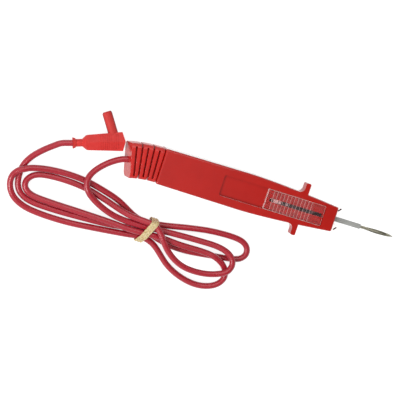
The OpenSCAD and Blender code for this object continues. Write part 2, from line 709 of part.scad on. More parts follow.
module rubber_band() {
    inside = lead_d / 2 + 0.25;
    placed() color([0.8, 0.72, 0.53]) for (i = [0:band_turns - 1])
        translate([band_x + (i - (band_turns - 1) / 2) * band_pitch, band_mid, 0])
            rotate([0, 0, band_turn]) rotate([90, 0, 90]) linear_extrude(band_w, center = true) difference() {
                band_outline(inside + band_t);
                band_outline(inside);
            }
}

// The plug's own frame: its axis from the lead's entry forwards, the shroud to its side.
module at_plug() {
    placed() translate([plug_at[0], plug_at[1], plug_t / 2 * cos(plug_roll)])
        rotate([0, 0, plug_turn]) rotate([-plug_roll, 0, 0]) children();
}

// The shroud's axis, which starts on the block's middle line.
module at_shroud(y0) {
    translate([shroud_x, 0, 0]) rotate([0, 0, shroud_lean]) translate([0, y0, 0]) rotate([-90, 0, 0]) children();
}

// A cylinder or cone across the plug, on the shroud's axis.
module across_plug(y0, y1, r, r2 = -1) {
    at_shroud(y0) cylinder(h = y1 - y0, r1 = r, r2 = r2 < 0 ? r : r2);
}

// The plug's section: two faces that slope from a ridge, above and below; lift raises them.
module ridged(half, lift) {
    fall = half * tan(ridge_slope);
    polygon([[0, ridge + lift], [half, ridge + lift - fall], [half, fall - ridge - lift],
        [0, -ridge - lift], [-half, fall - ridge - lift], [-half, ridge + lift - fall]]);
}

module plug_body() {
    x0 = plug_neck;
    x1 = plug_neck + plug_l;
    rear = plug_w / 2 - 1.5;
    front = plug_w / 2;
    grip_x = x1 - plug_point - 3 - grip_count * grip_pitch;
    at_plug() color([0.84, 0.28, 0.28]) difference() {
        union() {
            translate([seat_gap, 0, 0]) rotate([0, 90, 0]) cylinder(h = 2.2, r1 = 4.5, r2 = 3.7);
            translate([seat_gap, 0, 0]) rotate([0, 90, 0]) cylinder(h = x0 - 1, r = neck_r);
            translate([x0 - 2.8, 0, 0]) rotate([0, 90, 0]) cylinder(h = 3, r1 = neck_r, r2 = ridge - 0.4);
            intersection() {
                translate([0, 0, -plug_t]) linear_extrude(2 * plug_t) polygon([[x0, -rear + 1], [x0 + 1.2, -rear],
                    [x1 - plug_point, -front], [x1, 0], [x1 - plug_point, front], [x0 + 1.2, rear], [x0, rear - 1]]);
                rotate([90, 0, 90]) linear_extrude(x1) ridged(front + 0.2, 0);
            }
            for (k = [0:grip_count - 1]) translate([grip_x + k * grip_pitch, 0, 0])
                rotate([90, 0, 90]) linear_extrude(grip_w) ridged(front - 1.6, grip_h);
        }
        across_plug(front - shroud_in, front + 5, shroud_r + seat_gap);
        across_plug(-2.1, front, contact_r + stud_step + seat_gap);
    }
}

module plug_shroud() {
    at_plug() color([0.86, 0.3, 0.3]) difference() {
        across_plug(plug_w / 2 - shroud_in + seat_gap, shroud_y1, shroud_r);
        across_plug(plug_w / 2 - shroud_in - cut, shroud_y1 + cut, shroud_r - 0.75);
    }
}

// The contact: a stud in the block, a plain collar, a thin core for the spring cage and a rounded head.
module plug_contact() {
    collar = plug_w / 2 + collar_l;
    at_plug() color([0.85, 0.83, 0.78]) {
        across_plug(-2, plug_w / 2, contact_r + stud_step);
        across_plug(plug_w / 2 - 0.1, collar, contact_r);
        across_plug(collar - 0.1, contact_end - 2.4, contact_r - 0.75);
        across_plug(contact_end - 2.5, contact_end - 0.9, contact_r - 0.3);
        across_plug(contact_end - 0.9, contact_end, contact_r - 0.3, contact_r - 1);
    }
}

module plug_cage() {
    cage_y0 = plug_w / 2 + collar_l + 0.05;
    at_plug() color([0.9, 0.87, 0.78]) at_shroud(cage_y0)
        lantern(contact_end - 2.55 - cage_y0, contact_r - 0.3, contact_r, 0.35, 6, 0.6);
}

lower_shell();
upper_shell();
shell_screws();
strain_relief();
lead_inside();
stop_sleeve();
terminal();
terminal_screw();
contact_rail();
nose_guide();
thumb_slide();
carriage();
carriage_screw();
tip_rod();
tip_sleeve();
tip_cage();
rod_ferrule();
wiper_spring();
lead();
rubber_band();
plug_body();
plug_shroud();
plug_contact();
plug_cage();
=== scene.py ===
"""Looks of the test probe: a red housing with a clear thumb slide, its tip, its lead and its plug.

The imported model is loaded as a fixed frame. Round it come the finishes of its solids, the free
lead, the rubber band, and the pieces whose shape needs more than the solids give.
"""

from __future__ import annotations

import logging
import math
from dataclasses import dataclass
from enum import Enum
from typing import Any, Callable, Iterable, Sequence

import bmesh
import bpy
from mathutils import Matrix, Vector

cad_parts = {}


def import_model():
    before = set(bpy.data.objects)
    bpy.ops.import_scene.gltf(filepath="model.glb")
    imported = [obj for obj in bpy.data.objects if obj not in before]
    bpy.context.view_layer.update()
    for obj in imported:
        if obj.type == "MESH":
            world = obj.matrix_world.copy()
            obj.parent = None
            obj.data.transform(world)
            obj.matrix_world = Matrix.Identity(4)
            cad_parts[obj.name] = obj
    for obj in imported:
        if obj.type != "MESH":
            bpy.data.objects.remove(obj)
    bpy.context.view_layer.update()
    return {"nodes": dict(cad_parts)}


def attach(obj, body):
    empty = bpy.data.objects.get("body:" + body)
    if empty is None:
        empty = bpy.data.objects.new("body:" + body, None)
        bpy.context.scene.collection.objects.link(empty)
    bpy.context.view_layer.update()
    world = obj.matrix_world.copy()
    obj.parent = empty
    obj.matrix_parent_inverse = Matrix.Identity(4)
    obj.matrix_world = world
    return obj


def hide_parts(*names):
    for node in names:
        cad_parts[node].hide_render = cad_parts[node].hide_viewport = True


Socket = bpy.types.NodeSocket
LOG = logging.getLogger("test_probe")
MM = 0.001
# The part's source measures from the joint of housing and boot, which has this X in the row frame.
JOINT_X = -89.07709
# Corners nearer than MERGE become one, and one nearer to a place than TOUCH is there, in metres.
MERGE, TOUCH = 0.000002, 0.00001
# Least height in metres of an edge that stands upright.
STANDING = 0.0001
# Share of a normal along Z: the least of a level face and of a rising one, the most of a wall.
LEVEL, RISING, WALL = 0.9, 0.3, 0.2
# The colour sockets of a mix node, whose names its hidden sockets have too.
MIX_FIRST, MIX_SECOND, MIX_RESULT = 6, 7, 2
# The middle of a noise's range, where nearly all of its values lie.
NOISE_MIDDLE = (0.3, 0.7)


class Body(Enum):
    """The CAD bodies that a piece can ride on."""

    HOUSING = "housing"
    SLIDER = "slider"


class Slot(Enum):
    """The record's material slots of the pieces made here."""

    BAND = "band"
    BOOT = "boot_red"
    CLEAR = "clear"
    LEAD = "lead_red"
    PLUG = "plug_red"


class Part(Enum):
    """What is selected on a mesh, by the name of its list."""

    VERT = "verts"
    EDGE = "edges"
    FACE = "faces"


class Finish(Enum):
    """The finishes of all pieces, by the name of their material."""

    HOUSING = "Housing_Red"
    BOOT = "Boot_Red"
    PLUG = "Plug_Red"
    SHROUD = "Shroud_Red"
    LEAD = "Lead_Red"
    DARK = "Dark_Plastic"
    SLEEVE = "Grey_Sleeve"
    CLEAR = "Clear_Plastic"
    LUGS = "Clear_Lugs"
    RUBBED = "Rubbed_Edge"
    STEEL = "Screw_Steel"
    BRASS = "Brass"
    NICKEL = "Nickel_Plate"
    SPRING = "Tinned_Spring"
    BAND = "Band_Rubber"


def place(x: float, y: float, z: float) -> Vector:
    """A point of the part's source as a point of the row frame.

    Args:
        x: Millimetres from the joint of housing and boot towards the tip.
        y: Millimetres across the probe.
        z: Millimetres above the floor.

    Returns:
        The same point in metres in the row frame.
    """
    return Vector(((x + JOINT_X) * MM, y * MM, z * MM))


def linear(hex_colour: str) -> tuple[float, float, float, float]:
    """A written colour as the linear values that a shader takes.

    Args:
        hex_colour: Six hexadecimal digits, red first.

    Returns:
        Linear red, green and blue, and an alpha of 1.
    """
    parts = [int(hex_colour[i : i + 2], 16) / 255 for i in (0, 2, 4)]
    red, green, blue = (p / 12.92 if p <= 0.04045 else ((p + 0.055) / 1.055) ** 2.4 for p in parts)
    return red, green, blue, 1.0


def grey(level: float) -> tuple[float, float, float, float]:
    """A linear grey as a shader takes it."""
    return level, level, level, 1.0


class NodeTree:
    """A node tree of a material or the world, with short ways to add and join nodes."""

    def __init__(self, owner: bpy.types.Material | bpy.types.World) -> None:
        """Start an empty tree.

        Args:
            owner: The material or world.
        """
        owner.use_nodes = True
        self.tree = owner.node_tree
        self.tree.nodes.clear()

    def node(self, kind: str, **settings: object) -> bpy.types.Node:
        """Add a node.

        Args:
            kind: Its Blender type name.
            **settings: Properties of the node itself.

        Returns:
            The new node.
        """
        made = self.tree.nodes.new(kind)
        for key, value in settings.items():
            setattr(made, key, value)
        return made

    def join(self, source: Socket, target: Socket) -> None:
        """Link an output socket to an input socket."""
        self.tree.links.new(source, target)

    def math(self, kind: str, *values: Socket | float) -> Socket:
        """Work out a number.

        Args:
            kind: The math node's operation.
            *values: Sockets or numbers, in the order of the node's inputs.

        Returns:
            The socket of the result.
        """
        made = self.node("ShaderNodeMath", operation=kind)
        for target, value in zip(made.inputs, values):
            if isinstance(value, float):
                target.default_value = value
            else:
                self.join(value, target)
        return made.outputs[0]

    def span(self, value: Socket, *ends: float, ease: str = "LINEAR") -> Socket:
        """Map a value from one span to another.

        Args:
            value: The value's socket.
            *ends: The two ends of the first span, then what they become.
            ease: How the node interpolates.

        Returns:
            The socket of the new value.
        """
        made = self.node("ShaderNodeMapRange", interpolation_type=ease)
        for key, number in zip(("From Min", "From Max", "To Min", "To Max"), ends):
            made.inputs[key].default_value = number
        self.join(value, made.inputs["Value"])
        return made.outputs["Result"]


class Graph(NodeTree):
    """The node tree of a new material that has one Principled shader."""

    def __init__(self, name: str) -> None:
        """Start the material.

        Args:
            name: The material's name.
        """
        self.material = bpy.data.materials.new(name)
        super().__init__(self.material)
        self.output = self.node("ShaderNodeOutputMaterial")
        self.shader = self.node("ShaderNodeBsdfPrincipled")
        self.join(self.shader.outputs["BSDF"], self.output.inputs["Surface"])
        self.coords = self.node("ShaderNodeTexCoord").outputs["Object"]

    def shade(self, **values: object) -> None:
        """Set the shader's plain sockets.

        Args:
            **values: Socket names, with _ for a space, and what each is set to.
        """
        for key, value in values.items():
            self.shader.inputs[key.replace("_", " ")].default_value = value

    def colour(self, tone: Socket) -> None:
        """Give the shader its colour."""
        self.join(tone, self.shader.inputs["Base Color"])

    def roughen(self, pattern: Socket, low: float, high: float) -> None:
        """Let the shader's roughness follow a pattern.

        Args:
            pattern: A value from 0 to 1.
            low: The roughness where the pattern is dark.
            high: The roughness where it is bright.
        """
        self.join(self.remap(pattern, low, high), self.shader.inputs["Roughness"])

    def stretched(self, scale: Sequence[float]) -> Socket:
        """Object coordinates, scaled for a pattern.

        Args:
            scale: Factors along X, Y and Z.

        Returns:
            The socket that gives the new coordinates.
        """
        mapping = self.node("ShaderNodeMapping")
        mapping.inputs["Scale"].default_value = scale
        self.join(self.coords, mapping.inputs["Vector"])
        return mapping.outputs["Vector"]

    def noise(self, size: float, detail: float = 2.0, coords: Socket | None = None) -> Socket:
        """A noise pattern.

        Args:
            size: Size of its blotches, in millimetres.
            detail: How many finer layers it has.
            coords: Coordinates other than the object's own.

        Returns:
            The socket of its value, from 0 to 1.
        """
        texture = self.node("ShaderNodeTexNoise")
        texture.inputs["Scale"].default_value = 1 / (size * MM)
        texture.inputs["Detail"].default_value = detail
        self.join(coords or self.coords, texture.inputs["Vector"])
        return texture.outputs["Fac"]

    def remap(self, value: Socket, low: float, high: float) -> Socket:
        """Stretch the middle of a noise's range over low to high."""
        return self.span(value, *NOISE_MIDDLE, low, high)

    def mottled(self, pattern: Socket, first: str, second: str) -> Socket:
        """Mix two written colours by a noise pattern."""
        return self.blend(self.remap(pattern, 0, 1), first, second)

    def blend(self, factor: Socket, first: str, second: str) -> Socket:
        """Mix two written colours.

        Args:
            factor: Share of the second colour.
            first: The colour at 0.
            second: The colour at 1.

        Returns:
            The socket of the mixed colour.
        """
        mix = self.node("ShaderNodeMix", data_type="RGBA")
        mix.inputs[MIX_FIRST].default_value = linear(first)
        mix.inputs[MIX_SECOND].default_value = linear(second)
        self.join(factor, mix.inputs["Factor"])
        return mix.outputs[MIX_RESULT]

    def painted_edge_light(self, tone: Socket, rim: str, start: float, end: float) -> Socket:
        """Paint another colour where the surface is seen edge-on, standing in for the reflection
        and shade there.

        Args:
            tone: The colour of what faces the eye.
            rim: The painted colour of what is seen edge-on.
            start: Where the change starts, from 0 for facing to 1 for edge-on.
            end: Where the change is complete.

        Returns:
            The socket of the mixed colour.
        """
        facing = self.node("ShaderNodeLayerWeight").outputs["Facing"]
        share = self.span(facing, start, end, 0.0, 1.0, ease="SMOOTHSTEP")
        mix = self.node("ShaderNodeMix", data_type="RGBA")
        self.join(share, mix.inputs["Factor"])
        self.join(tone, mix.inputs[MIX_FIRST])
        mix.inputs[MIX_SECOND].default_value = linear(rim)
        return mix.outputs[MIX_RESULT]

    def bump(self, height: Socket, depth: float) -> None:
        """Add relief to the shader's normal.

        Args:
            height: The pattern, from 0 to 1.
            depth: Its depth, in millimetres.
        """
        made = self.node("ShaderNodeBump")
        made.inputs["Distance"].default_value = depth * MM
        made.inputs["Strength"].default_value = 1.0
        self.join(height, made.inputs["Height"])
        self.join(made.outputs["Normal"], self.shader.inputs["Normal"])


class Recipe:
    """What all finishes share: each sets up a new material in its own way."""

    def dress(self, graph: Graph) -> None:
        """Set up the material."""
        raise NotImplementedError

    def build(self, name: str) -> bpy.types.Material:
        """Make the material.

        Args:
            name: Its name.

        Returns:
            The material.
        """
        graph = Graph(name)
        self.dress(graph)
        return graph.material


@dataclass(frozen=True)
class MouldedPlastic(Recipe):
    """Opaque moulded plastic, with a faint mottle in its colour and a grain that breaks its gloss.

    Attributes:
        colour: The written colour, and shade the one that it is mottled with.
        roughness: Its middle roughness, and uneven how far that falls and rises.
        specular: The strength of its plain gloss.
        mottle: Size of the mottle in millimetres, and patch the share of it that the gloss has.
        grain: Size of the grain in millimetres, and depth its depth.
        coat: The strength of a clear skin, and skin that skin's roughness.
        bending: The skin's index of refraction.
        rim: A colour painted where the surface is seen edge-on, standing in for the reflection and
            shade there, or nothing, and painted_rim_range where it starts and is full.
    """

    colour: str
    shade: str
    roughness: float = 0.42
    uneven: tuple[float, float] = (0.06, 0.08)
    specular: float = 0.4
    mottle: float = 16.0
    patch: float = 0.4
    grain: float = 0.5
    depth: float = 0.012
    coat: float = 0.0
    skin: float = 0.05
    bending: float = 1.5
    rim: str = ""
    painted_rim_range: tuple[float, float] = (0.3, 0.75)

    def dress(self, graph: Graph) -> None:
        """Set up the material.

        Args:
            graph: Its nodes.
        """
        tone = graph.mottled(graph.noise(self.mottle), self.colour, self.shade)
        # The rim is painted light: reflection and shade seen at the edges.
        graph.colour(graph.painted_edge_light(tone, self.rim, *self.painted_rim_range) if self.rim else tone)
        patches = graph.noise(self.mottle * self.patch, detail=4)
        graph.roughen(patches, self.roughness - self.uneven[0], self.roughness + self.uneven[1])
        graph.bump(graph.noise(self.grain, detail=3), self.depth)
        graph.shade(Specular_IOR_Level=self.specular, Coat_Weight=self.coat)
        graph.shade(Coat_Roughness=self.skin, Coat_IOR=self.bending)


@dataclass(frozen=True)
class ClearPlastic(Recipe):
    """Clear moulded plastic with the faint rub marks of a handled piece.

    Attributes:
        tint: Its written colour.
        roughness: The roughness where it is untouched, and rubbed where it is rubbed.
        rub: Size of the rub marks in millimetres.
        bending: Its index of refraction.
    """

    tint: str
    roughness: float = 0.02
    rubbed: float = 0.08
    rub: float = 6.0
    bending: float = 1.4

    def dress(self, graph: Graph) -> None:
        """Set up the material.

        Args:
            graph: Its nodes.
        """
        graph.shade(Base_Color=linear(self.tint), Transmission_Weight=1.0, IOR=self.bending)
        graph.roughen(graph.noise(self.rub, detail=3), self.roughness, self.rubbed)


@dataclass(frozen=True)
class ClearWithPaintedStrokes(ClearPlastic):
    """Clear plastic with a short painted dark stroke across the top of each lug, which stands in
    for a dark reflection there.

    Attributes:
        strokes: The strokes' middles, in millimetres along and across the probe.
        angle: How far they are turned from the probe's axis, in degrees.
        half_length: Half a stroke's length in millimetres, and half_width half its width.
        over: The height in millimetres from which they show.
        stroke_shade: The written colour of the painted dark strokes.
        rim: A red painted where the plastic is seen edge-on, a painted reflection of the housing,
            and painted_rim_range where it starts and is full.
    """

    strokes: tuple[tuple[float, float], ...] = ((152.35, 8.5), (153.3, -7.1))
    angle: float = 48.0
    half_length: float = 1.7
    half_width: float = 0.55
    over: float = 15.4
    stroke_shade: str = "341416"
    rim: str = "d8605a"
    painted_rim_range: tuple[float, float] = (0.6, 0.9)

    def dress(self, graph: Graph) -> None:
        """Set up the material.

        Args:
            graph: Its nodes.
        """
        graph.shade(IOR=self.bending, Roughness=self.roughness)
        mask = graph.math("MAXIMUM", *(self.stroke(graph, spot) for spot in self.strokes))
        # The dark strokes and the red edge-on rim are painted reflections.
        graph.colour(graph.painted_edge_light(graph.blend(mask, self.tint, self.stroke_shade), self.rim, *self.painted_rim_range))
        graph.join(graph.math("SUBTRACT", 1.0, mask), graph.shader.inputs["Transmission Weight"])

    def stroke(self, graph: Graph, spot: tuple[float, float]) -> Socket:
        """Mask one painted stroke.

        Args:
            graph: The material's nodes.
            spot: The stroke's middle, in millimetres along and across the probe.

        Returns:
            The socket that is 1 on the stroke and 0 beside it.
        """
        offset = graph.node("ShaderNodeVectorMath", operation="SUBTRACT")
        graph.join(graph.coords, offset.inputs[0])
        offset.inputs[1].default_value = place(*spot, 0)
        turned = graph.node("ShaderNodeMapping")
        turned.inputs["Rotation"].default_value = (0, 0, math.radians(-self.angle))
        graph.join(offset.outputs[0], turned.inputs["Vector"])
        parts = graph.node("ShaderNodeSeparateXYZ")
        graph.join(turned.outputs[0], parts.inputs[0])
        mark = graph.math("GREATER_THAN", parts.outputs["Z"], self.over * MM)
        for axis, half in (("X", self.half_length), ("Y", self.half_width)):
            size = graph.math("ABSOLUTE", parts.outputs[axis])
            mark = graph.math("MULTIPLY", mark, graph.math("LESS_THAN", size, half * MM))
        return mark


@dataclass(frozen=True)
class BareMetal(Recipe):
    """Drawn, turned or plated metal, with fine lines along one direction and a little tarnish.

    Attributes:
        colour: The written colour, and tarnish the one of its stains.
        stain: Size of the stains in millimetres.
        roughness: Its middle roughness, and uneven how far that falls and rises.
        line: Width of the lines in millimetres, and depth their depth.
        lines: How closely they follow each other along X, Y and Z.
        rim: A colour painted where the metal is seen edge-on, standing in for the reflection there,
            or nothing, and painted_rim_range where it starts and is full.
        metallic: Share of metal; below 1, a white colour shows as a painted glint.
    """

    colour: str
    tarnish: str
    stain: float = 2.2
    roughness: float = 0.25
    uneven: tuple[float, float] = (0.07, 0.13)
    line: float = 0.3
    depth: float = 0.006
    lines: tuple[float, float, float] = (0.05, 1, 1)
    rim: str = ""
    painted_rim_range: tuple[float, float] = (0.25, 0.7)
    metallic: float = 1.0

    def dress(self, graph: Graph) -> None:
        """Set up the material.

        Args:
            graph: Its nodes.
        """
        graph.shade(Metallic=self.metallic)
        tone = graph.mottled(graph.noise(self.stain, detail=4), self.colour, self.tarnish)
        # The rim is a painted reflection at the metal's edges.
        graph.colour(graph.painted_edge_light(tone, self.rim, *self.painted_rim_range) if self.rim else tone)
        drawn = graph.noise(self.line, detail=3, coords=graph.stretched(self.lines))
        graph.roughen(drawn, self.roughness - self.uneven[0], self.roughness + self.uneven[1])
        graph.bump(drawn, self.depth)


@dataclass(frozen=True)
class Rubber(Recipe):
    """Cut sheet rubber: matt and dusty, with fine furrows.

    Attributes:
        colour: The written colour, and shade the one that it is mottled with.
        mottle: Size of the mottle in millimetres.
        dust: Size of the dusty patches in millimetres, and roughness its least and most.
        furrow: Width of the furrows in millimetres, and depth their depth.
        specular: The strength of its gloss.
        glow: Share of the light that passes under its skin.
        reach: How far that light goes in millimetres, and tint what goes in of each colour.
    """

    colour: str
    shade: str
    mottle: float = 1.1
    dust: float = 3.0
    roughness: tuple[float, float] = (0.5, 0.75)
    furrow: float = 0.45
    depth: float = 0.05
    specular: float = 0.3
    glow: float = 0.15
    reach: float = 0.8
    tint: tuple[float, float, float] = (1.0, 0.6, 0.3)

    def dress(self, graph: Graph) -> None:
        """Set up the material.

        Args:
            graph: Its nodes.
        """
        graph.colour(graph.mottled(graph.noise(self.mottle, detail=5), self.colour, self.shade))
        graph.roughen(graph.noise(self.dust, detail=4), *self.roughness)
        graph.bump(graph.noise(self.furrow, detail=3), self.depth)
        graph.shade(Specular_IOR_Level=self.specular, Subsurface_Weight=self.glow)
        graph.shade(Subsurface_Scale=self.reach * MM, Subsurface_Radius=self.tint)


RECIPES: dict[Finish, Recipe] = {
    # The white rim is a painted reflection: the housing turns white where it is seen edge-on.
    Finish.HOUSING: MouldedPlastic(
        "bc1408", "b51106", roughness=0.36, specular=0.2, depth=0.003, coat=0.55,
        rim="ffffff", painted_rim_range=(0.83, 0.91),
    ),
    Finish.BOOT: MouldedPlastic(
        "d01e15", "c41a12", roughness=0.36, specular=0.3, mottle=9, depth=0.004, coat=0.3
    ),
    Finish.PLUG: MouldedPlastic(
        "dc3a36", "d2332f", roughness=0.45, specular=0.3, mottle=8, depth=0.006
    ),
    # A darker, duller copy of the plug's red that paints the shroud's shade, with a dark rim that
    # is painted edge shade.
    Finish.SHROUD: MouldedPlastic(
        "cc3c38", "c23632", roughness=0.5, specular=0.2, depth=0.004, rim="8e2c34"
    ),
    # The lead's paler rim is a painted sheen along the cord's sides.
    Finish.LEAD: MouldedPlastic(
        "b02232", "a61d2c", roughness=0.26, specular=0.5, mottle=30, depth=0.0, rim="b84a5a"
    ),
    Finish.DARK: MouldedPlastic("2a2424", "211c1c", roughness=0.5, mottle=6),
    # The sleeve's darker rim is painted shade along its round sides.
    Finish.SLEEVE: MouldedPlastic(
        "aeafab", "a5a6a2", roughness=0.3, mottle=5, depth=0.002, coat=0.3, rim="6c6c6a"
    ),
    Finish.CLEAR: ClearPlastic("f6dcdc"),
    # The lugs' dark strokes and red rim are painted reflections.
    Finish.LUGS: ClearWithPaintedStrokes("fdf6f4"),
    # Pale plastic on the slide's rounded crests and rim: a painted highlight.
    Finish.RUBBED: MouldedPlastic("f8d2cc", "f0c6c0", roughness=0.3, specular=0.6, mottle=3),
    Finish.STEEL: BareMetal("c4c6c8", "a9abad", roughness=0.3, lines=(1, 1, 0.2)),
    Finish.BRASS: BareMetal("b48c4c", "8d6d3a", roughness=0.35),
    # The nickel's dark rim paints dark reflections along its round edges.
    Finish.NICKEL: BareMetal("c6c2ae", "96927e", roughness=0.3, rim="4a4736"),
    # The spring's plain white is a painted glint, seen through the clear slide.
    Finish.SPRING: BareMetal("ffffff", "fbfaf6", roughness=0.3, metallic=0.1),
    Finish.BAND: Rubber("ead9ac", "c2aa74"),
}

# The material of each finish, filled at the start.
MATERIALS: dict[Finish, bpy.types.Material] = {}

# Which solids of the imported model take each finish.
NODE_FINISHES = {
    Finish.HOUSING: ("lower_shell", "upper_shell"),
    Finish.PLUG: ("plug_body",),
    Finish.LEAD: ("lead_inside",),
    Finish.DARK: ("carriage",),
    Finish.SLEEVE: ("tip_sleeve",),
    Finish.LUGS: ("nose_guide",),
    Finish.STEEL: ("shell_screws", "stop_sleeve", "carriage_screw"),
    Finish.BRASS: ("terminal_screw", "contact_rail", "rod_ferrule"),
    Finish.NICKEL: ("terminal", "tip_rod", "tip_cage", "plug_contact", "plug_cage"),
    Finish.SPRING: ("wiper_spring",),
}

# The lead's route over the floor as the part's source has it, in millimetres from the joint.
LEAD_ROUTE = (
    (-24.1, -3, 10), (-28.4, -4.1, 10), (-37.1, -9.2, 9.7), (-45.1, -16.8, 9.5), (-49, -22.7, 9.4),
    (-50.2, -27, 9.4), (-49.8, -31.4, 9.4), (-47.1, -36.3, 9.5), (-42.7, -40.2, 8.9),
    (-33.2, -45.3, 8.3), (-21.9, -49.1, 7.6), (-8.9, -50.7, 7), (11.1, -50.6, 6.5),
    (27.8, -49.8, 6.6), (50.6, -49.2, 7.4), (66.1, -49.4, 8.1), (74, -51, 8.6), (78.9, -53.5, 8.9),
    (81.8, -56.7, 9.2), (82.9, -60.7, 9.5), (81.7, -64.8, 9.9), (79.5, -67.3, 10.4),
    (74.3, -70.2, 10.1), (65.1, -72.8, 10.3), (54.2, -73.6, 10.5), (44.5, -72.5, 10.7),
    (36.6, -69.5, 11), (28.7, -64.1, 11.4), (22.1, -57.1, 12), (19.3, -53.2, 11.9),
    (13.7, -48.1, 11.1), (9.1, -46.7, 10.4), (-10, -45.3, 8), (-33, -39, 5.7), (-47, -35.6, 4.3),
    (-62.5, -33.9, 4.1), (-79.4, -34.2, 4), (-87.5, -35.7, 4), (-91.6, -37.9, 4), (-94.4, -41.3, 4),
    (-95.1, -44.4, 4.1), (-94.4, -47.5, 4.1), (-91.4, -50.6, 4.2), (-86.1, -52.6, 4.3),
    (-73, -53.7, 4.7), (-49.1, -54.3, 5.6), (-25.2, -55, 7), (-3.7, -56.1, 7.7), (17.8, -55.6, 7.5),
    (22.4, -55.7, 6.9), (36.2, -56.7, 7.1), (59.5, -57, 7.4), (67.1, -58.2, 7.8),
    (74.6, -61.6, 6.5), (78.3, -64.8, 5.6), (80.5, -68.3, 5.1), (81.1, -72.5, 4.9),
    (79.6, -76.7, 4.6), (76.4, -80.1, 4.4), (71.1, -82.9, 4.1), (62.9, -84.6, 3.7),
    (53.5, -84, 3.4), (42.1, -80.7, 3), (32.6, -75.7, 2.8), (18, -63.8, 2.5), (11.8, -61, 2.5),
    (5, -60, 2.5), (-8, -61.4, 2.5), (-31.7, -63.7, 2.6), (-55.3, -65.3, 3.1), (-76.8, -64.7, 3.9),
    (-89.6, -62.8, 4.5), (-97.2, -59.8, 5), (-101.9, -56.3, 5.4), (-105.3, -51.5, 5.8),
    (-106.9, -46, 6.2), (-106.6, -41.7, 6.6), (-104.6, -37.9, 6.9), (-102.3, -35.7, 7.6),
    (-99.2, -34.1, 7.5), (-95.1, -32.2, 6.8), (-83.9, -29.6, 5.9), (-67.3, -28.5, 4.8),
    (-50.6, -29.6, 3.9), (-34.3, -33.1, 3.3), (-20.8, -37.3, 2.9), (-4.1, -45.6, 2.6),
    (3.8, -47.3, 2.5), (18.5, -46.3, 2.5), (41, -42.2, 2.5), (59.5, -39.6, 2.5), (79.7, -39.2, 2.5),
    (86.7, -40.5, 2.5), (90.6, -42.8, 2.5), (92.5, -45.4, 2.5), (93.1, -48.6, 2.5),
    (92.2, -51.6, 2.5), (89.1, -54.6, 2.5), (82.3, -56.6, 2.5), (67.4, -58.5, 2.5),
    (44.1, -60.7, 2.5), (30.9, -60.3, 2.5), (18, -57.6, 2.5), (10, -55.1, 2.5), (1.6, -54.8, 2.5),
    (-22, -57.6, 2.5), (-45.9, -58.6, 2.5), (-69.9, -58.8, 2.5), (-85.3, -57.8, 2.5),
    (-92, -56, 2.5), (-96.7, -53, 2.5), (-99.7, -48.6, 2.5), (-101.3, -42, 2.6),
    (-100.7, -32.7, 2.5), (-97.5, -25.3, 3.5), (-91.6, -18.1, 4.5), (-83.2, -10.6, 5.7),
    (-78.2, -6.9, 6.47), (-69.8, -4.05, 6.47),
)


